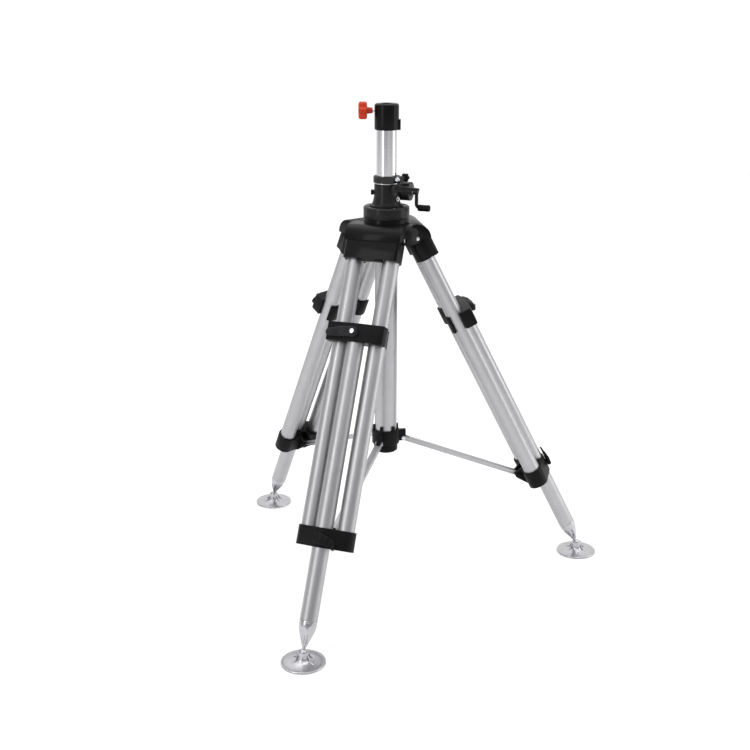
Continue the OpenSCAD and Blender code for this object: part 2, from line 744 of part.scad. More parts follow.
// Tapered end of the sliding tube, with its ball
module foot_tip(az) {
  flutes = 8;
  neck = 4.2;
  color(STEEL) on_leg(az) {
    difference() {
      translate([mid_n, 0, -tip_s - tip_len]) rotate_extrude()
        polygon([[0, 0], [5.2, 0], [6.5, 1.5], [10.5, 14], [15.5, 27], [18.8, 38],
                 [tube_r, 46], [tube_r, tip_len - 0.05],
                 [bore_r - tight, tip_len - 0.05], [bore_r - tight, tip_len + 24],
                 [bore_r - 3, tip_len + 26], [0, tip_len + 26]]);
      for (i = [0:flutes - 1]) translate([mid_n, 0, -tip_s - tip_len])
        rotate([0, 0, (i + 0.5) * 360 / flutes]) translate([7, 0, -6]) rotate([0, 20, 0])
          cylinder(r = 3, h = 42);
    }
    translate([mid_n, 0, -ball_s]) cylinder(r = neck, h = ball_s - tip_s - tip_len + 1);
    translate([mid_n, 0, -ball_s]) sphere(r = ball_r);
  }
}

// Dished plate with a ribbed ball socket in its middle
module foot_plate(az) {
  r = foot_d / 2;
  ribs = 6;
  rib_h = ball_z - 5;
  cup = ball_r + 0.06;
  color(BRIGHT) rotate([0, 0, az]) translate([foot_r, 0, 0]) difference() {
    union() {
      rotate_extrude($fn = 96)
        polygon([[0, 0], [r - 3, 0], [r, 1.6], [r, 3.2], [r - 2, 4.6], [r - 7, 4.2],
                 [24, 6.6], [15, 9.5], [12.2, 14], [11.8, ball_z + 3.4], [0, ball_z + 3.4]]);
      for (i = [0:ribs - 1]) rotate([90, 0, i * 360 / ribs + 15]) translate([0, 0, -1.3])
        linear_extrude(2.6)
          polygon([[0, 2], [34, 5], [24, 8], [15, rib_h - 2], [11.4, rib_h + 6], [0, rib_h + 6]]);
    }
    translate([0, 0, ball_z]) sphere(r = cup);
    translate([0, 0, ball_z + 2.4]) cylinder(r1 = 6.5, r2 = 14, h = 7);
  }
}

// ---------------------------------------------------------------- nodes

head_casting();
head_flange();
flange_screws();
hinge_pins();
guide_tube();
guide_tube_end_cap();
column_bushes();
gear_housing();
gear_case_cover();
column_collar();
lift_column();
column_rack();
instrument_socket();
socket_clamp_pad();
socket_clamp_screw();
socket_clamp_knob();
pinion_shaft();
crank_arm();
crank_grip();
brake_lever();
brake_pad();
collar_knob();
friction_knob();
spreader_hub();

yoke(front_az);  // front_yoke
outer_tubes(front_az);  // front_outer_tubes
lower_bracket(front_az);  // front_lower_bracket
lower_lever(front_az, front_levers[1]);  // front_lower_lever
inner_tube(front_az);  // front_inner_tube
slide_bracket(front_az);  // front_slide_bracket
slide_lever(front_az, front_levers[0]);  // front_slide_lever
lever_screw(front_az);  // front_lever_screw
foot_tip(front_az);  // front_foot_tip
foot_plate(front_az);  // front_foot_plate
strut(front_az);  // front_strut
strut_pin(front_az);  // front_strut_pin

yoke(right_az);  // right_yoke
outer_tubes(right_az);  // right_outer_tubes
lower_bracket(right_az);  // right_lower_bracket
lower_lever(right_az, right_levers[1]);  // right_lower_lever
inner_tube(right_az);  // right_inner_tube
slide_bracket(right_az);  // right_slide_bracket
slide_lever(right_az, right_levers[0]);  // right_slide_lever
lever_screw(right_az);  // right_lever_screw
foot_tip(right_az);  // right_foot_tip
foot_plate(right_az);  // right_foot_plate
strut(right_az);  // right_strut
strut_pin(right_az);  // right_strut_pin

yoke(left_az);  // left_yoke
outer_tubes(left_az);  // left_outer_tubes
lower_bracket(left_az);  // left_lower_bracket
lower_lever(left_az, left_levers[1]);  // left_lower_lever
inner_tube(left_az);  // left_inner_tube
slide_bracket(left_az);  // left_slide_bracket
slide_lever(left_az, left_levers[0]);  // left_slide_lever
lever_screw(left_az);  // left_lever_screw
foot_tip(left_az);  // left_foot_tip
foot_plate(left_az);  // left_foot_plate
strut(left_az);  // left_strut
strut_pin(left_az);  // left_strut_pin
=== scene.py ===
import json
import math

import bmesh
import bpy
from mathutils import Matrix, Vector


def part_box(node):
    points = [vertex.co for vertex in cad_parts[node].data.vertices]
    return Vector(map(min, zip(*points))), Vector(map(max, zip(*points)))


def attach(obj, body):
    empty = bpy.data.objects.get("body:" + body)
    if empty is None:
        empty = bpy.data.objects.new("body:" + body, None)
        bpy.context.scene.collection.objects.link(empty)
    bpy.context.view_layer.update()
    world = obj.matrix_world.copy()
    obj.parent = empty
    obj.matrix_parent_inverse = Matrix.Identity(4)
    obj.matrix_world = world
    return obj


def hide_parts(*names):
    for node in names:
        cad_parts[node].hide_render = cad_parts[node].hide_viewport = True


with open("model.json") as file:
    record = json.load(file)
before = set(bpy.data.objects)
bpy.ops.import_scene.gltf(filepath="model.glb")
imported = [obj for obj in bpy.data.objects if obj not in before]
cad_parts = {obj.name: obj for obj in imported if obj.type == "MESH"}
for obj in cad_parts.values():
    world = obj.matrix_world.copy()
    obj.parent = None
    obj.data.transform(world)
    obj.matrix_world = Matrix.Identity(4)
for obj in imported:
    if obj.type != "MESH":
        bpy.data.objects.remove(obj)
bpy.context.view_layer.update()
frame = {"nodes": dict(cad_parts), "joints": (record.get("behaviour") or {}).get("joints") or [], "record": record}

MM = 0.001
LEGS = ("front", "right", "left")
JOINTS = {joint["name"]: joint for joint in frame["joints"]}
NODE_BODY = {
    node: body
    for body, nodes in frame["record"]["behaviour"]["bodies"].items()
    for node in nodes
}
NODE_SLOT = {row["node"]: row["material_slot"] for row in frame["record"]["subparts"]}


# ---------------------------------------------------------------- frames


def frame_of(x, y, z, origin):
    """A matrix from its three axes and its origin, all in the part's own frame."""
    matrix = Matrix((x, y, z)).transposed().to_4x4()
    matrix.translation = Vector(origin)
    return matrix


def leg_frame(leg):
    """x outward from the leg's plane, y across it, z up along it, on its hinge axis."""
    fold = JOINTS[leg + "_leg_fold"]
    up = -Vector(JOINTS[leg + "_leg_extend"]["axis"]).normalized()
    across = Vector(fold["axis"]).normalized()
    return frame_of(across.cross(up), across, up, fold["pos_m"])


def axis_frame(origin, axis, hint=(0, 0, 1)):
    """z along the axis, x as near the hint as it can be."""
    z = Vector(axis).normalized()
    x = Vector(hint) - Vector(hint).dot(z) * z
    x.normalize()
    return frame_of(x, z.cross(x), z, origin)


LEG_FRAME = {leg: leg_frame(leg) for leg in LEGS}


def local_box(node, matrix):
    """Lowest and highest corners of a node in a frame, in mm."""
    inverse = matrix.inverted()
    points = [inverse @ v.co / MM for v in frame["nodes"][node].data.vertices]
    return ([min(p[i] for p in points) for i in range(3)],
            [max(p[i] for p in points) for i in range(3)])


# ---------------------------------------------------------------- materials


def add_node(tree, kind, inputs=None, **settings):
    """A shader node with its settings made, and its inputs linked or given a value."""
    made = tree.nodes.new("ShaderNode" + kind)
    for key, value in settings.items():
        setattr(made, key, value)
    for key, value in (inputs or {}).items():
        if isinstance(value, bpy.types.NodeSocket):
            tree.links.new(value, made.inputs[key])
        else:
            made.inputs[key].default_value = value
    return made


class Shader:
    """A node material under construction, with a Principled shader at its end."""

    def __init__(self, name):
        self.material = bpy.data.materials.new(name)
        self.material.use_nodes = True
        self.tree = self.material.node_tree
        self.principled = self.tree.nodes["Principled BSDF"]

    def node(self, kind, inputs=None, **settings):
        return add_node(self.tree, kind, inputs, **settings)

    def set(self, **values):
        """Gives the Principled shader's inputs a value, by name with _ for a space."""
        for key, value in values.items():
            self.principled.inputs[key.replace("_", " ")].default_value = value

    def link(self, socket, name):
        self.tree.links.new(socket, self.principled.inputs[name])

    def place(self, uv, scale):
        """Texture space in metres: the piece's own UVs or its rest position."""
        coord = self.node("TexCoord").outputs["UV" if uv else "Object"]
        return self.node("Mapping", {"Vector": coord, "Scale": scale}).outputs[0]

    def noise(self, vector, scale, detail=4.0, rough=0.5):
        inputs = {"Vector": vector, "Scale": scale, "Detail": detail, "Roughness": rough}
        return self.node("TexNoise", inputs).outputs["Fac"]

    def ramp(self, fac, low, high, start=0.3, end=0.7):
        """A colour between low and high as fac goes from start to end."""
        ramp = self.node("ValToRGB", {"Fac": fac})
        stops = ((start, low), (end, high))
        for stop, (position, colour) in zip(ramp.color_ramp.elements, stops):
            stop.position = position
            stop.color = (*colour, 1.0)
        return ramp.outputs["Color"]

    def span(self, fac, low, high, start=0.3, end=0.7):
        """A number between low and high as fac goes from start to end."""
        inputs = {"Value": fac, "From Min": start, "From Max": end}
        inputs.update({"To Min": low, "To Max": high})
        return self.node("MapRange", inputs).outputs[0]

    def bump(self, heights):
        """Chains bumps given as (height socket, strength, distance in metres)."""
        normal = None
        for height, strength, distance in heights:
            inputs = {"Height": height, "Strength": strength, "Distance": distance}
            if normal is not None:
                inputs["Normal"] = normal
            normal = self.node("Bump", inputs).outputs[0]
        self.link(normal, "Normal")


def shade(colour, factor):
    """The colour, lighter or darker by a factor."""
    return tuple(min(1.0, channel * factor) for channel in colour)


def painted(name, colour, rough, shine, grain_mm, grain, edge_highlight=False):
    """Enamel or powder coat on a casting: soft mottling and orange peel; edge_highlight lightens the colour, a
    painted highlight for eased edges.
    """
    s = Shader(name)
    space = s.place(False, (1, 1, 1))
    broad = s.noise(space, 30, 3)
    fine = s.noise(space, 1 / (grain_mm * MM), 3, 0.6)
    dust = s.noise(space, 160, 5, 0.6)
    # Eased edges get a lighter colour here: a painted highlight, not wear.
    lift = 2.2 if edge_highlight else 1.0
    s.link(s.ramp(broad, shade(colour, 0.8 * lift), shade(colour, 1.25 * lift)), "Base Color")
    s.link(s.span(dust, rough * 0.9, rough * 1.2), "Roughness")
    s.set(Coat_Weight=shine, Coat_Roughness=0.1, Specular_IOR_Level=shine)
    s.bump([(fine, 0.25, grain * MM), (broad, 0.15, 0.0003)])
    return s.material


def moulded(name, colour, rough, grain_mm, grain, edge_highlight=False):
    """Spark-textured moulded plastic with faint flow marks and scuffs; edge_highlight lightens the colour, a
    painted highlight for eased edges.
    """
    s = Shader(name)
    space = s.place(False, (1, 1, 1))
    cells = s.node("TexVoronoi", {"Vector": space, "Scale": 1 / (grain_mm * MM)})
    flow = s.noise(s.place(False, (1, 1, 0.25)), 60, 4)
    scuff = s.noise(space, 420, 5, 0.7)
    # Eased edges get a lighter colour here: a painted highlight, not wear.
    lift = 1.7 if edge_highlight else 1.0
    s.link(s.ramp(flow, shade(colour, 0.8 * lift), shade(colour, 1.25 * lift)), "Base Color")
    s.link(s.span(scuff, rough * 0.88, rough * 1.2), "Roughness")
    s.set(Specular_IOR_Level=0.12)
    s.bump([(cells.outputs["Distance"], 0.3, grain * MM), (scuff, 0.12, 0.00006)])
    return s.material


def metal(name, colour, rough, streak=0.0, uv=False, grain_mm=0.4, tint=0.06):
    """Bare or anodised metal; streak is how strongly drawn lines run along its UVs."""
    s = Shader(name)
    space = s.place(uv, (1, 1, 1))
    broad = s.noise(space, 22, 3)
    smear = s.noise(space, 130, 5, 0.6)
    heights = [(s.noise(space, 1 / (grain_mm * MM), 2), 0.06, 0.00002)]
    if streak:
        drawn = s.noise(s.place(uv, (1, 0.006, 1)), 900, 3, 0.6)
        heights.append((drawn, streak, 0.00003))
    low, high = shade(colour, 1 - tint), shade(colour, 1 + tint)
    s.link(s.ramp(broad, low, high), "Base Color")
    s.link(s.span(smear, rough * 0.92, rough * 1.1), "Roughness")
    s.set(Metallic=1.0)
    if streak:
        s.set(Anisotropic=0.45)
    s.bump(heights)
    return s.material


def orange_plastic(name):
    """Glossy moulded knob with faint swirls, shaded as opaque though the plastic is a little translucent."""
    s = Shader(name)
    space = s.place(False, (1, 1, 1))
    swirl = s.noise(space, 90, 5, 0.6)
    fine = s.noise(space, 1600, 2)
    s.link(s.ramp(swirl, (0.40, 0.018, 0.003), (0.54, 0.036, 0.005)), "Base Color")
    s.link(s.span(swirl, 0.24, 0.36), "Roughness")
    s.set(Coat_Weight=0.1, Coat_Roughness=0.15, Specular_IOR_Level=0.2)
    s.bump([(fine, 0.12, 0.00004)])
    return s.material


def floor_paint(name):
    """A pale studio floor, faintly mottled."""
    s = Shader(name)
    space = s.place(False, (1, 1, 1))
    mottle = s.noise(space, 3, 4)
    s.link(s.ramp(mottle, (0.93, 0.93, 0.93), (0.96, 0.96, 0.96)), "Base Color")
    s.link(s.span(mottle, 0.5, 0.65), "Roughness")
    s.bump([(s.noise(space, 400, 2), 0.05, 0.0001)])
    return s.material


# Base colours of the black and grey finishes
GLOSS = (0.0026, 0.0026, 0.0030)
MOULDED = (0.0032, 0.0032, 0.0036)
CASTING = (0.010, 0.010, 0.011)
LEVER_GREY = (0.016, 0.016, 0.018)

# Each finish by its name, which is a slot in the record or a slot's lighter edge finish, a painted highlight
FINISH = {
    "gloss_black": painted("gloss_black", GLOSS, 0.34, 0.09, 0.9, 0.02),
    "gloss_black_edge": painted("gloss_black_edge", GLOSS, 0.32, 0.12, 0.9, 0.02, True),
    "moulded_black": moulded("moulded_black", MOULDED, 0.45, 0.7, 0.04),
    "moulded_black_edge": moulded("moulded_black_edge", MOULDED, 0.42, 0.7, 0.03, True),
    "dark_casting": painted("dark_casting", CASTING, 0.42, 0.13, 0.8, 0.05),
    "dark_casting_edge": painted("dark_casting_edge", CASTING, 0.4, 0.14, 0.8, 0.04, True),
    "grey_lever": moulded("grey_lever", LEVER_GREY, 0.38, 0.7, 0.04),
    "satin_tube": metal("satin_tube", (0.43, 0.43, 0.443), 0.40, 0.05, True, tint=0.03),
    "bright_tube": metal("bright_tube", (0.60, 0.60, 0.62), 0.19, 0.04, True, tint=0.02),
    "foot_metal": metal("foot_metal", (0.47, 0.47, 0.49), 0.26, grain_mm=1.6),
    "steel": metal("steel", (0.62, 0.63, 0.66), 0.25),
    "brass": metal("brass", (0.72, 0.54, 0.25), 0.25),
    "orange_knob": orange_plastic("orange_knob"),
}


# ---------------------------------------------------------------- mesh building


def add_mesh(name, verts, faces, uvs=None):
    """An object from points and faces, with each face's UVs if it has any."""
    mesh = bpy.data.meshes.new(name)
    mesh.from_pydata([tuple(v) for v in verts], [], faces)
    if uvs:
        layer = mesh.uv_layers.new(name="UVMap")
        for polygon, corners in zip(mesh.polygons, uvs):
            for loop, uv in zip(polygon.loop_indices, corners):
                layer.data[loop].uv = uv
    mesh.validate()
    piece = bpy.data.objects.new(name, mesh)
    bpy.context.scene.collection.objects.link(piece)
    return piece


def surface(name, rows, closed_ends=True):
    """Skins rows of points, each a closed loop of the same length, with caps on the ends."""
    count = len(rows[0])
    verts = [p for row in rows for p in row]
    faces, uvs = [], []
    length = [0.0]
    for a, b in zip(rows, rows[1:]):
        length.append(length[-1] + max((Vector(p) - Vector(q)).length for p, q in zip(a, b)))
    middle = [Vector(p) for p in rows[len(rows) // 2]]
    girth = sum((middle[i] - middle[i - 1]).length for i in range(count))
    for i in range(len(rows) - 1):
        for j in range(count):
            k = (j + 1) % count
            faces.append((i * count + j, i * count + k, (i + 1) * count + k, (i + 1) * count + j))
            u0, u1 = girth * j / count, girth * (j + 1) / count
            v0, v1 = length[i], length[i + 1]
            uvs.append(((u0, v0), (u1, v0), (u1, v1), (u0, v1)))
    if closed_ends:
        last = (len(rows) - 1) * count
        for ring, flip in ((0, True), (last, False)):
            loop = [ring + j for j in range(count)]
            faces.append(tuple(reversed(loop)) if flip else tuple(loop))
            uvs.append(tuple((0.0, 0.0) for _ in loop))
    return add_mesh(name, verts, faces, uvs)


AXIS_RADIUS = 0.02  # how far a point on the axis is kept off it, in mm


def lathe(name, profile, segments, wobble=None):
    """Turns (radius, height) points in mm round z. wobble(angle, r, z) scales the radius."""
    rows = []
    for r, z in profile:
        row = []
        for j in range(segments):
            a = 2 * math.pi * j / segments
            rr = max(r, AXIS_RADIUS) * (wobble(a, r, z) if wobble else 1.0)
            row.append((rr * MM * math.cos(a), rr * MM * math.sin(a), z * MM))
        rows.append(row)
    return surface(name, rows)


def loop_lathe(name, profile, segments):
    """Turns a closed (radius, height) outline in mm round z, as for a tube or a ring."""
    rows = [[(r * MM * math.cos(2 * math.pi * j / segments),
              r * MM * math.sin(2 * math.pi * j / segments), z * MM)
             for j in range(segments)] for r, z in profile + profile[:1]]
    made = surface(name, rows, closed_ends=False)
    weld(made)
    return made


WELD_DISTANCE = 1e-6  # points closer than this are one, in metres


def weld(piece):
    """Joins points that meet, and turns every face outward."""
    bm = bmesh.new()
    bm.from_mesh(piece.data)
    bmesh.ops.remove_doubles(bm, verts=bm.verts, dist=WELD_DISTANCE)
    bmesh.ops.recalc_face_normals(bm, faces=bm.faces)
    bm.to_mesh(piece.data)
    bm.free()


def arc(cx, cz, r, start, end, steps):
    """Points of an arc in a profile, round (cx, cz), with its angles in degrees."""
    turn = [math.radians(start + (end - start) * i / steps) for i in range(steps + 1)]
    return [(cx + r * math.cos(a), cz + r * math.sin(a)) for a in turn]


def join(name, pieces):
    """One object from several, keeping each one's materials."""
    bpy.ops.object.select_all(action="DESELECT")
    for piece in pieces:
        piece.select_set(True)
    bpy.context.view_layer.objects.active = pieces[0]
    bpy.ops.object.join()
    pieces[0].name = name
    pieces[0].data.name = name
    return pieces[0]


def place(piece, matrix):
    """Moves a piece's mesh, and keeps its faces outward in a mirrored frame."""
    piece.data.transform(matrix)
    if matrix.determinant() < 0:
        piece.data.flip_normals()
    return piece


def paint(piece, *finishes):
    """Gives a piece its finishes, in the order of its material indices."""
    piece.data.materials.clear()
    for finish in finishes:
        piece.data.materials.append(FINISH[finish])
    return piece


def apply_modifiers(piece):
    """Replaces a piece's mesh by the one that its modifiers make."""
    bpy.context.view_layer.update()
    graph = bpy.context.evaluated_depsgraph_get()
    mesh = bpy.data.meshes.new_from_object(piece.evaluated_get(graph))
    piece.modifiers.clear()
    piece.data = mesh


def subtract(piece, cutter):
    """Cuts one closed mesh out of another and drops the cutter."""
    cut = piece.modifiers.new("cut", "BOOLEAN")
    cut.operation = "DIFFERENCE"
    cut.object = cutter
    cut.solver = "EXACT"
    apply_modifiers(piece)
    bpy.data.objects.remove(cutter)


def smooth(piece, angle):
    """Smooth shading with edges sharper than the angle kept crisp."""
    mesh = piece.data
    mesh.polygons.foreach_set("use_smooth", [True] * len(mesh.polygons))
    mesh.set_sharp_from_angle(angle=math.radians(angle))


def finish_piece(piece, node, angle=32):
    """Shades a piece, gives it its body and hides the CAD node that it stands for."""
    smooth(piece, angle)
    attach(piece, NODE_BODY[node])
    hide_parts(node)


CAD_WELD = 2e-6  # points of the CAD mesh closer than this are one, in metres
FLAT_ANGLE = 0.6  # faces that turn less than this are one face, in degrees
EDGE_ANGLE = 28  # edges sharper than this are eased, in degrees


def soften(node, width, segments=2):
    """The CAD node's shape with eased edges, which carry a lighter finish: a painted highlight."""
    source = frame["nodes"][node]
    piece = bpy.data.objects.new(node + "_shell", source.data.copy())
    bpy.context.scene.collection.objects.link(piece)
    bm = bmesh.new()
    bm.from_mesh(piece.data)
    bmesh.ops.remove_doubles(bm, verts=bm.verts, dist=CAD_WELD)
    bmesh.ops.dissolve_limit(bm, angle_limit=math.radians(FLAT_ANGLE), verts=bm.verts,
                             edges=bm.edges)
    bm.to_mesh(piece.data)
    bm.free()
    slot = NODE_SLOT[node]
    edge = slot + "_edge"
    paint(piece, slot, edge if edge in FINISH else slot)
    piece.data.polygons.foreach_set("material_index", [0] * len(piece.data.polygons))
    bevel = piece.modifiers.new("edges", "BEVEL")
    bevel.width = width * MM
    bevel.segments = segments
    bevel.limit_method = "ANGLE"
    bevel.angle_limit = math.radians(EDGE_ANGLE)
    # The bevel's faces take the lighter second finish, a painted highlight along the edges.
    bevel.material = 1
    bevel.harden_normals = False
    bevel.use_clamp_overlap = True
    apply_modifiers(piece)
    finish_piece(piece, node)


# ---------------------------------------------------------------- camera, floor, light


# The photo's viewpoint, fitted to the tripod's three legs and its upright column
CAMERA_PLACE = (0.980, -2.609, 1.3965)
CAMERA_TILT, CAMERA_TURN = 73.67, 21.26
SENSOR_WIDTH, LENS = 36, 57.1
LENS_SHIFT = (0.0032, -0.036)


def make_camera():
    data = bpy.data.cameras.new("camera")
    data.sensor_width = SENSOR_WIDTH
    data.lens = LENS
    data.shift_x, data.shift_y = LENS_SHIFT
    camera = bpy.data.objects.new("camera", data)
    camera.location = CAMERA_PLACE
    camera.rotation_euler = (math.radians(CAMERA_TILT), 0, math.radians(CAMERA_TURN))
    bpy.context.scene.collection.objects.link(camera)
    bpy.context.scene.camera = camera


FLOOR_HALF, FLOOR_STEPS = 8, 24  # half the floor's side in metres, and its divisions


def make_floor():
    """A level square floor, with the part in its middle."""
    row = FLOOR_STEPS + 1
    places = [FLOOR_HALF * (i / FLOOR_STEPS - 0.5) * 2 for i in range(row)]
    corners = [i * row + j for i in range(FLOOR_STEPS) for j in range(FLOOR_STEPS)]
    floor = add_mesh("floor", [(x, y, 0) for x in places for y in places],
                     [(a, a + row, a + row + 1, a + 1) for a in corners])
    floor.data.materials.append(floor_paint("floor_paint"))


LAMP_TARGET = (0, 0, 0.6)  # the middle of the tripod


def softbox(name, azimuth, elevation, distance, width, height, watts):
    """A rectangular lamp that faces the target, from an azimuth and an elevation."""
    a, e = math.radians(azimuth), math.radians(elevation)
    direction = Vector((math.cos(a) * math.cos(e), math.sin(a) * math.cos(e), math.sin(e)))
    data = bpy.data.lights.new(name, "AREA")
    data.shape = "RECTANGLE"
    data.size = width
    data.size_y = height
    data.energy = watts
    lamp = bpy.data.objects.new(name, data)
    lamp.location = Vector(LAMP_TARGET) + direction * distance
    lamp.rotation_euler = direction.to_track_quat("Z", "Y").to_euler()
    bpy.context.scene.collection.objects.link(lamp)


# The azimuth that the camera looks along, and how bright the studio is on each side
VIEW_AZIMUTH = 110.6
BEHIND_CAMERA = 0.35
SIDES = 0.55
AHEAD = 1.05
CEILING = 1.35


def make_world():
    """A studio's walls by direction: white behind the tripod, greyer behind the camera."""
    world = bpy.data.worlds.new("studio")
    bpy.context.scene.world = world
    world.use_nodes = True
    tree = world.node_tree
    direction = add_node(tree, "TexCoord").outputs["Generated"]
    turn = math.radians(VIEW_AZIMUTH)
    ahead = (math.cos(turn), math.sin(turn), 0)
    dot = add_node(tree, "VectorMath", {0: direction, 1: ahead}, operation="DOT_PRODUCT")
    spread = {"Value": dot.outputs["Value"], "From Min": -1.0, "From Max": 1.0}
    facing = add_node(tree, "MapRange", spread).outputs[0]
    walls = add_node(tree, "ValToRGB", {"Fac": facing})
    ramp = walls.color_ramp
    levels = ((0.0, BEHIND_CAMERA), (0.35, SIDES), (0.62, SIDES), (0.85, AHEAD))
    for stop, (position, level) in zip(ramp.elements, (levels[0], levels[-1])):
        stop.position, stop.color = position, (level, level, level, 1)
    for position, level in levels[1:-1]:
        ramp.elements.new(position).color = (level, level, level, 1)
    height = add_node(tree, "SeparateXYZ", {0: direction}).outputs["Z"]
    climb = {"Value": height, "From Min": 0.35, "From Max": 0.8}
    rise = add_node(tree, "MapRange", climb).outputs[0]
    inputs = {0: rise, 6: walls.outputs["Color"], 7: (CEILING, CEILING, CEILING, 1)}
    mix = add_node(tree, "Mix", inputs, data_type="RGBA")
    tree.links.new(mix.outputs[2], tree.nodes["Background"].inputs["Color"])


# Name, azimuth from the camera's side, elevation, distance, width, height and watts
LAMPS = (
    ("key_left", -42, 20, 2.8, 0.7, 2.2, 16),
    ("fill_right", 88, 12, 2.8, 1.2, 2.4, 18),
    ("top", 180, 80, 2.6, 2.6, 2.6, 22),
)


def make_light():
    make_world()
    for name, turn, *rest in LAMPS:
        softbox(name, VIEW_AZIMUTH - 180 + turn, *rest)


make_camera()
make_floor()
make_light()
bpy.context.scene.view_settings.view_transform = "Standard"


# ---------------------------------------------------------------- castings and mouldings

# How far the edges of each node are eased, in mm
for name in ("head_casting", "head_flange", "gear_housing", "gear_case_cover", "column_collar",
             "brake_lever", "guide_tube_end_cap", "spreader_hub", "instrument_socket"):
    soften(name, 0.7)
for leg in LEGS:
    soften(leg + "_yoke", 1.2, 3)
    soften(leg + "_slide_bracket", 0.9, 3)
    soften(leg + "_lower_bracket", 0.9, 3)
    soften(leg + "_strut", 0.4)
    soften(leg + "_strut_pin", 0.3)
    soften(leg + "_lever_screw", 0.3)
for name in ("hinge_pins", "flange_screws", "socket_clamp_screw", "socket_clamp_pad",
             "brake_pad", "pinion_shaft"):
    soften(name, 0.3)
for name in ("column_rack", "column_bushes"):
    soften(name, 0.15)


# The boss on the housing: its azimuth in degrees, its height and its face's distance
PLUG_AZIMUTH, PLUG_Z, PLUG_FACE = -14, 948, 32.5


def housing_plug():
    """The bright plug screwed into the boss on the gear housing's front."""
    turn = math.radians(PLUG_AZIMUTH)
    matrix = axis_frame((0, 0, PLUG_Z * MM), (math.cos(turn), math.sin(turn), 0))
    face = PLUG_FACE
    rim = [(0, face - 1), (5.9, face - 1), (5.9, face + 0.2), (5.5, face + 0.6),
           (3.4, face + 0.6)]
    socket = [(3.0, face + 0.4), (2.8, face - 0.5), (0, face - 0.6)]
    plug = place(lathe("gear_housing_plug", rim + socket, 72), matrix)
    finish_piece(paint(plug, "steel"), "gear_housing")


housing_plug()


# ---------------------------------------------------------------- tubes


GUIDE_WALL, COLUMN_WALL, LEG_WALL = 1.8, 3, 2  # in mm
TUBE_SEGMENTS, TUBE_EDGE = 96, 0.6
SLOT_CLEARANCE = 0.02  # how far the slot's sides are from the rack's, in mm
RACK_SLOT = (17, 27)  # how far from the column's axis its slot starts and ends, in mm


def tube(name, matrix, outer, wall, z0, z1, finish):
    """A drawn tube along z of the matrix, sizes in mm, with eased ends."""
    inner, edge = outer - wall, TUBE_EDGE
    outline = [(outer, z0 + edge), (outer, z1 - edge), (outer - edge, z1), (inner + edge, z1),
               (inner, z1 - edge), (inner, z0 + edge), (inner + edge, z0), (outer - edge, z0)]
    return paint(place(loop_lathe(name, outline, TUBE_SEGMENTS), matrix), finish)


def upright_tube(node, wall, finish):
    """A tube on the column's axis, as wide and as tall as its CAD node."""
    low, high = (Vector(corner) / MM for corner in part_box(node))
    return tube(node + "_skin", Matrix.Identity(4), high.x, wall, low.z, high.z, finish)


def lift_column():
    """The column, with the rack's slot cut down its length."""
    piece = upright_tube("lift_column", COLUMN_WALL, "bright_tube")
    slot_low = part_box("lift_column")[0][2] - MM
    slot_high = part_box("column_rack")[1][2]
    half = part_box("column_rack")[1][0] + SLOT_CLEARANCE * MM
    cutter = add_mesh(
        "slot_cutter",
        [(x, y * MM, z) for x in (-half, half) for y in RACK_SLOT for z in (slot_low, slot_high)],
        [(0, 1, 3, 2), (4, 6, 7, 5), (0, 4, 5, 1), (2, 3, 7, 6), (0, 2, 6, 4), (1, 5, 7, 3)])
    weld(cutter)
    subtract(piece, cutter)
    finish_piece(paint(piece, "bright_tube"), "lift_column")


def leg_tubes(leg):
    """The outer pair and the sliding tube of a leg, from their boxes in the leg's frame."""
    low, high = local_box(leg + "_outer_tubes", LEG_FRAME[leg])
    radius = high[0]
    spacing = high[1] - radius
    pair = []
    for side in (-1, 1):
        shift = Matrix.Translation((0, side * spacing * MM, 0))
        pair.append(tube("outer", LEG_FRAME[leg] @ shift, radius, LEG_WALL, low[2], high[2],
                         "satin_tube"))
    finish_piece(join(leg + "_outer_pair", pair), leg + "_outer_tubes")
    low, high = local_box(leg + "_inner_tube", LEG_FRAME[leg])
    shift = Matrix.Translation(((low[0] + high[0]) / 2 * MM, 0, 0))
    piece = tube(leg + "_sliding_tube", LEG_FRAME[leg] @ shift, radius, LEG_WALL, low[2], high[2],
                 "satin_tube")
    finish_piece(piece, leg + "_inner_tube")


finish_piece(upright_tube("guide_tube", GUIDE_WALL, "satin_tube"), "guide_tube")
lift_column()
for leg in LEGS:
    leg_tubes(leg)


# ---------------------------------------------------------------- feet


# A tip's sizes in mm, then how many flutes it has, how deep they are, how far above
# its end they stop and over what height they fade
TIP_LENGTH, BALL_RADIUS, TIP_RADIUS = 56, 8, 19.93
FLUTES, FLUTE_DEPTH, FLUTE_TOP, FLUTE_FADE = 8, 0.30, 42, 26


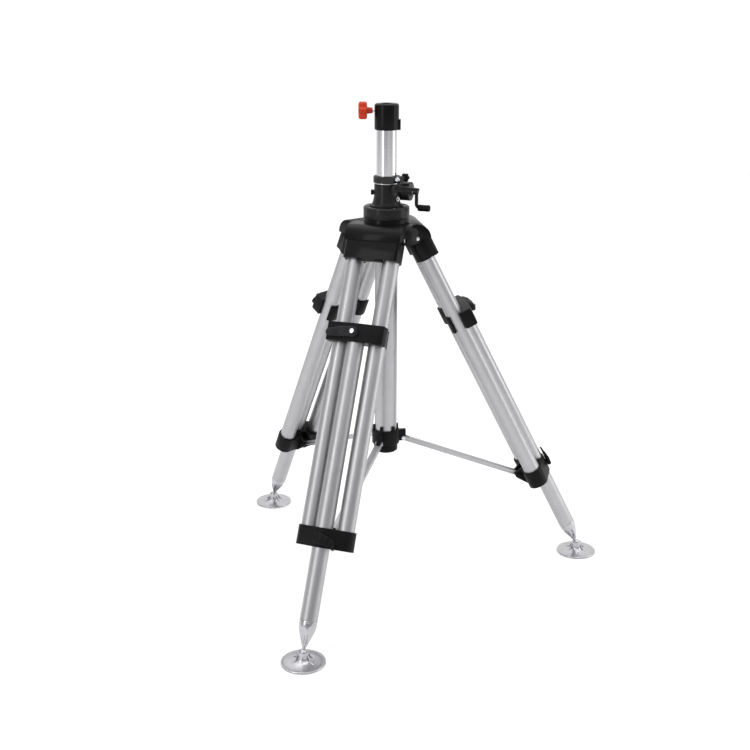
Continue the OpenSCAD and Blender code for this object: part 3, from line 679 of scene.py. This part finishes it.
def foot_tip(leg):
    """The tapered, fluted casting at the end of a sliding tube, with its neck and ball."""
    low = local_box(leg + "_foot_tip", LEG_FRAME[leg])[0]
    tube_low, tube_high = local_box(leg + "_inner_tube", LEG_FRAME[leg])
    outward = (tube_low[0] + tube_high[0]) / 2
    end = tube_low[2] - TIP_LENGTH
    ball_z = low[2] + BALL_RADIUS

    def wobble(angle, r, z):
        """Shallow flutes that fade out towards the full-width shoulder."""
        fade = max(0.0, min(1.0, (end + FLUTE_TOP - z) / FLUTE_FADE))
        depth = fade * (1 if z > end + 2 else 0.3)
        return 1 - FLUTE_DEPTH * depth * (0.5 + 0.5 * math.cos(FLUTES * angle)) ** 1.5

    nose = [(0, end), (4.4, end)] + arc(4.4, end + 1.4, 1.4, -90, -20, 4)
    taper = [(8.3, end + 8), (10.4, end + 14), (13.0, end + 20.5), (15.4, end + 27),
             (17.3, end + 32.5), (18.7, end + 38), (19.6, end + 43), (TIP_RADIUS, end + 46.5)]
    groove = [(TIP_RADIUS, end + 50.5), (19.5, end + 51), (19.5, end + 52),
              (TIP_RADIUS, end + 52.5)]
    shoulder = (arc(19.2, end + 55.2, 0.73, 0, 90, 3)
                + [(17.9, end + TIP_LENGTH - 0.05), (17.9, end + TIP_LENGTH + 2)])
    skirt = lathe("tip", nose + taper + groove + shoulder, 96, wobble)
    neck = [(4.2, ball_z + 6.8), (4.2, end + 1)]
    ball = lathe("ball", arc(0, ball_z, BALL_RADIUS, -90, 56, 18) + neck, 48)
    piece = join(leg + "_fluted_tip", [skirt, ball])
    place(piece, LEG_FRAME[leg] @ Matrix.Translation((outward * MM, 0, 0)))
    finish_piece(paint(piece, "foot_metal"), leg + "_foot_tip", angle=40)


# A foot plate's ribs: how many, the first one's azimuth in degrees, their foot in mm
RIBS, FIRST_RIB, RIB_FOOT = 6, 15, 1.5


def plate_rib(crest, azimuth):
    """A tapering rib under the crest's (radius, height) points, in mm, at an azimuth."""
    rows = []
    for k, (radius, height) in enumerate(crest):
        half = 1.55 - 0.45 * k / len(crest)
        shoulder = height - 0.7
        section = [(-half, RIB_FOOT), (half, RIB_FOOT), (half, shoulder), (half * 0.55, height),
                   (-half * 0.55, height), (-half, shoulder)]
        rows.append([(radius * MM, t * MM, max(z, RIB_FOOT + 0.1) * MM) for t, z in section])
    rib = surface("rib", rows)
    weld(rib)
    return place(rib, Matrix.Rotation(math.radians(azimuth), 4, "Z"))


def foot_plate(leg):
    """A round cast plate with a rolled rim, a raised cup and radial ribs."""
    low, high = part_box(leg + "_foot_plate")
    x, y = (low[0] + high[0]) / 2, (low[1] + high[1]) / 2
    r = (high[0] - low[0]) / 2 / MM
    top = (high[2] - low[2]) / MM
    rim = [(0, 0.0), (r - 4, 0.0)] + arc(r - 2.2, 2.3, 2.1, -80, 80, 6) + [(r - 4, 4.0)]
    face = [(r - 7.5, 3.7), (32, 4.9), (24, 6.4), (18, 8.2), (15, 10.4), (13.2, 13.6)]
    cup = [(12.3, 18), (11.9, top - 1.4)] + arc(10.9, top - 1.0, 0.95, 0, 90, 3)
    seat = [(9.6, top - 0.3), (7.4, top - 2.2), (6.6, top - 3.0), (0, top - 3.2)]
    crest = [(11.2, top - 3.4), (13.2, top - 5.6), (14.8, top - 9.5), (18.5, 11.0), (24, 7.6),
             (31, 5.3)]
    pieces = [lathe("plate", rim + face + cup + seat, 96)]
    pieces += [plate_rib(crest, FIRST_RIB + 360 / RIBS * i) for i in range(RIBS)]
    piece = join(leg + "_ribbed_plate", pieces)
    turn = Matrix.Rotation(math.atan2(y, x), 4, "Z")
    place(piece, Matrix.Translation((x, y, low[2])) @ turn)
    finish_piece(paint(piece, "foot_metal"), leg + "_foot_plate", angle=35)


for leg in LEGS:
    foot_tip(leg)
    foot_plate(leg)


# ---------------------------------------------------------------- knobs and crank


def lobed(lobes, depth, inner, fade, power):
    """A wobble that scallops a knob's rim, and leaves its middle round."""

    def wobble(angle, r, z):
        reach = max(0.0, min(1.0, (r - inner) / fade))
        return 1 - depth * reach * (0.5 + 0.5 * math.cos(lobes * angle)) ** power

    return wobble


def clamp_knob():
    """The orange knob: a tapered neck under a six-lobed moulded head."""
    joint = JOINTS["socket_knob_turn"]
    matrix = axis_frame((0, 0, joint["pos_m"][2]), -Vector(joint["axis"]))
    low, high = local_box("socket_clamp_knob", matrix)
    root, end, radius = low[2], high[2], high[0]
    thread_r, head_h = 4.1, 20
    crown = 16.5
    head_low = end - head_h
    neck = lathe("neck", [(thread_r, root), (6.3, root), (6.7, root + 0.5), (7.0, root + 5),
                          (8.2, root + 13), (9.4, root + 15), (thread_r, root + 16)], 48)
    profile = ([(thread_r, head_low + 0.4), (12, head_low)]
               + arc(crown, head_low + 4.5, radius - crown, -70, 0, 6)
               + arc(crown, end - 5.5, radius - crown, 0, 75, 7)
               + [(13, end - 0.4), (9, end), (7.2, end), (6.6, end - 1.2), (0, end - 1.5)])
    head = lathe("head", profile, 144, lobed(6, 0.17, 9, 8, 1.4))
    piece = place(join("clamp_star_knob", [neck, head]), matrix)
    finish_piece(paint(piece, "orange_knob"), "socket_clamp_knob", angle=45)


def hexagonal(inner):
    """A wobble that turns everything wider than the inner radius into a hexagon."""

    def wobble(angle, r, z):
        if r < inner:
            return 1.0
        return math.cos(math.pi / 6) / math.cos((angle % (math.pi / 3)) - math.pi / 6)

    return wobble


def collar_knob():
    """A small black star knob with its screw, and the bolt head at the other end."""
    joint = JOINTS["collar_knob_turn"]
    matrix = axis_frame(joint["pos_m"], joint["axis"])
    low, high = local_box("collar_knob", matrix)
    start, end, radius = low[2], high[2], high[0]
    neck_z, screw_r = 8.4, 2.95
    face = end - 9
    profile = ([(5, neck_z), (5, face - 0.6), (7, face), (radius - 1.6, face + 0.2)]
               + arc(radius - 1.6, face + 1.8, 1.6, -90, 0, 4)
               + arc(radius - 2.2, end - 2.2, 2.2, 0, 80, 5)
               + [(6, end - 0.2), (5.5, end - 1), (0, end - 1)])
    star = paint(lathe("star", profile, 120, lobed(6, 0.2, 6, 4, 1.6)), "moulded_black", "steel")
    rod = [(0, start + 0.4), (screw_r, start + 0.4), (screw_r, neck_z + 0.2), (0, neck_z + 0.2)]
    screw = paint(lathe("screw", rod, 32), "moulded_black", "steel")
    head = [(0, start), (4.8, start), (5.45, start + 0.7), (5.45, start + 5.8), (3, start + 5.9)]
    bolt = paint(lathe("bolt", head, 96, hexagonal(3.5)), "moulded_black", "steel")
    for metal_part in (screw, bolt):
        faces = metal_part.data.polygons
        faces.foreach_set("material_index", [1] * len(faces))
    piece = place(join("collar_star_knob", [star, screw, bolt]), matrix)
    finish_piece(piece, "collar_knob")


def friction_knob():
    """A small knurled thumb knob on a plain screw."""
    joint = JOINTS["friction_knob_turn"]
    matrix = axis_frame((0, 0, joint["pos_m"][2]), joint["axis"])
    low, high = local_box("friction_knob", matrix)
    end, radius = high[2], high[0]
    screw_r, back = 2.95, end - 6.5
    profile = ([(screw_r, low[2]), (screw_r, back - 0.4), (4.5, back - 0.1), (radius - 0.8, back)]
               + arc(radius - 0.9, back + 0.9, 0.9, -90, 0, 3)
               + arc(radius - 1.4, end - 1.4, 1.4, 0, 80, 4)
               + [(3.4, end - 0.1), (3, end - 0.6), (0, end - 0.6)])
    knob = lathe("friction_thumb_knob", profile, 112, lobed(14, 0.07, 3.9, 0.1, 1))
    finish_piece(paint(place(knob, matrix), "moulded_black"), "friction_knob")


ROD_SIDES = 24


def swept_rod(name, path, radius):
    """A round rod along a path in mm, square to it. radius(i) is its radius at point i."""
    turns = [2 * math.pi * j / ROD_SIDES for j in range(ROD_SIDES)]
    rows = []
    for i, point in enumerate(path):
        before = Vector(path[max(0, i - 1)])
        after = Vector(path[min(len(path) - 1, i + 1)])
        along = (after - before).normalized()
        across = Vector((0, 1, 0))
        up = along.cross(across).normalized()
        r = radius(i)
        rows.append([tuple((Vector(point) + across * r * math.cos(a) + up * r * math.sin(a)) * MM)
                     for a in turns])
    piece = surface(name, rows)
    weld(piece)
    return piece


def crank_arm(shaft, spin):
    """A bent round rod from the shaft's boss down to the grip's spindle."""
    low, high = (Vector(c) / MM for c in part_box("crank_arm"))
    rod_r, spindle_r, boss_r, bend = 4.2, 2.95, 7.4, 9
    x, drop = low.x + 7, shaft.z - spin.z
    turns = [math.radians(10 * k) for k in range(1, 9)]
    straight = [(x, 0, 1.0), (x, 0, -6), (x, 0, -drop + bend)]
    corner = [(x + bend - bend * math.cos(a), 0, -drop + bend - bend * math.sin(a))
              for a in turns]
    end = [(x + bend + along, 0, -drop) for along in (0, 2, 10)]
    taper_from = len(straight) + len(corner) - 2

    def radius(i):
        """The rod thins over its last points, into the spindle."""
        return rod_r - min(1.2, 0.4 * max(0, i - taper_from))

    rod = swept_rod("rod", straight + corner + end, radius)
    across = Matrix.Rotation(math.pi / 2, 4, "Y")
    cap = [(spindle_r, high.x - 2), (4.6, high.x - 2), (5, high.x - 1.6), (4.6, high.x - 0.4),
           (3.6, high.x), (0, high.x)]
    spindle = lathe("spindle", [(0, x + 4), (spindle_r, x + 4)] + cap, 32)
    place(spindle, Matrix.Translation((0, 0, -drop * MM)) @ across)
    boss = [(5.05, low.x + 1.3), (5.05, low.x), (6.7, low.x), (boss_r, low.x + 0.7),
            (boss_r, low.x + 10.2), (6.8, low.x + 10.9), (0, low.x + 11)]
    piece = join("crank_bent_rod", [rod, spindle, place(lathe("boss", boss, 48), across)])
    place(piece, Matrix.Translation((0, shaft.y * MM, shaft.z * MM)))
    finish_piece(paint(piece, "dark_casting"), "crank_arm")


def crank_grip(spin):
    """A waisted plastic grip that spins on the crank's spindle."""
    low, high = (Vector(c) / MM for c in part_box("crank_grip"))
    length, radius, bore = high.x - low.x, (high.z - low.z) / 2, 3.06
    recess_r, recess_z = 5.35, 24.7
    profile = ([(bore, 0)] + arc(6.2, 0.9, 0.9, -90, -20, 3)
               + [(7.55, 2.2), (radius, 4.5), (7.75, 9), (7.45, 14.5), (7.7, 20), (radius, 24),
                  (7.75, 26.2)]
               + arc(6.4, length - 1.0, 0.95, 20, 90, 3)
               + [(recess_r, length), (recess_r, recess_z), (bore, recess_z), (bore, 0)])
    grip = lathe("crank_turned_grip", profile, 64)
    weld(grip)
    place(grip, Matrix.Translation(Vector((low.x, spin.y, spin.z)) * MM)
          @ Matrix.Rotation(math.pi / 2, 4, "Y"))
    finish_piece(paint(grip, "moulded_black"), "crank_grip")


def crank():
    shaft = Vector(JOINTS["crank_turn"]["pos_m"]) / MM
    spin = Vector(JOINTS["crank_grip_spin"]["pos_m"]) / MM
    crank_arm(shaft, spin)
    crank_grip(spin)


clamp_knob()
collar_knob()
friction_knob()
crank()


# ---------------------------------------------------------------- clamp levers


def blend_through(stops, x):
    """The value at x, eased from each (x, value) stop to the next."""
    if x <= stops[0][0]:
        return stops[0][1]
    for (x0, v0), (x1, v1) in zip(stops, stops[1:]):
        if x <= x1:
            k = (x - x0) / (x1 - x0)
            return v0 + (v1 - v0) * k * k * (3 - 2 * k)
    return stops[-1][1]


# The height of each kind of lever's root and the radius of its pin's hole, in mm
LEVER_KINDS = {"slide": (10.5, 3.08), "lower": (9, 4.08)}
RIDGE_DEPTH, RIDGE_PITCH = 0.45, 3.1
LEVER_TIP = 3  # how far from its end a lever's outline starts to round off
LEVER_SIDES, LEVER_STEPS = 28, 60  # points round a lever and sections along it
CROWN = 0.5  # how much lower a lever's back is at its sides than along its middle


def lever_stops(reach, root, root_h, dip):
    """The top, the bottom and the half width of a lever, as (x, value) stops in mm."""
    top = [(-root, root_h - 1), (-root + 3, root_h), (8, root_h + 0.9),
           (reach * 0.45, root_h - 0.6), (reach * 0.75, root_h - 3.1 - dip * 0.35),
           (reach, 4.6 - dip * 0.85)]
    bottom = [(-root, 0.1), (12, 0.1), (reach * 0.45, 0.6 - dip * 0.1),
              (reach * 0.75, 1.1 - dip * 0.45), (reach, 0.1 - dip)]
    width = [(0, root), (reach * 0.5, root - 0.5), (reach * 0.9, 9), (reach, 6.4)]
    return top, bottom, width


def lever_half_width(x, reach, root, width):
    """Round about the pin, and rounded off at the tip."""
    if x < 0:
        return math.sqrt(max(0.0, root * root - x * x))
    half = blend_through(width, x)
    left = reach - x
    if left < LEVER_TIP:
        half *= 0.62 + 0.38 * math.sqrt(max(0.0, 1 - (1 - left / LEVER_TIP) ** 2))
    return half


def lever_ridge(x, reach):
    """The depth of the grooves between the ridges of a lever's grip."""
    if not reach * 0.62 < x < reach - 4:
        return 0
    return RIDGE_DEPTH * (0.5 + 0.5 * math.cos(2 * math.pi * x / RIDGE_PITCH))


def lever_section(half, top, bottom, ridge):
    """The (y, z) points of a rounded box in mm, with a crowned back."""
    points = []
    for j in range(LEVER_SIDES):
        a = 2 * math.pi * j / LEVER_SIDES
        c, q = math.cos(a), math.sin(a)
        y = half * math.copysign(abs(c) ** 0.42, c)
        z = (top + bottom) / 2 + (top - bottom) / 2 * math.copysign(abs(q) ** 0.5, q)
        if q > 0.3:
            z -= ridge + CROWN * (y / half) ** 2
        points.append((y, z))
    return points


def clamp_lever(leg, kind):
    """A cam lever lofted from its round root to its flat ridged tip."""
    node = f"{leg}_{kind}_lever"
    root_h, pin_r = LEVER_KINDS[kind]
    joint = JOINTS[node + "_turn"]
    base = axis_frame(joint["pos_m"], joint["axis"], LEG_FRAME[leg].to_3x3().col[2])
    inverse = base.inverted()
    far = max((inverse @ v.co for v in frame["nodes"][node].data.vertices),
              key=lambda p: p.xy.length)
    matrix = base @ Matrix.Rotation(math.atan2(far.y, far.x), 4, "Z")
    low, high = local_box(node, matrix)
    reach, root = high[0], -low[0]
    seat = high[2] - root_h - 1
    top, bottom, width = lever_stops(reach, root, root_h, seat - low[2])
    stations = ([-root * math.cos(math.radians(a)) for a in range(4, 90, 9)]
                + [reach * k / LEVER_STEPS for k in range(LEVER_STEPS + 1)])
    rows = []
    for x in stations:
        section = lever_section(lever_half_width(x, reach, root, width),
                                blend_through(top, x), blend_through(bottom, x),
                                lever_ridge(x, reach))
        rows.append([(x * MM, y * MM, (seat + z) * MM) for y, z in section])
    piece = place(surface(node + "_blade", rows), matrix)
    weld(piece)
    subtract(piece, place(lathe("pin_hole", [(pin_r, -30), (pin_r, 30)], 32), matrix))
    finish_piece(paint(piece, NODE_SLOT[node]), node, angle=38)


for leg in LEGS:
    for kind in LEVER_KINDS:
        clamp_lever(leg, kind)
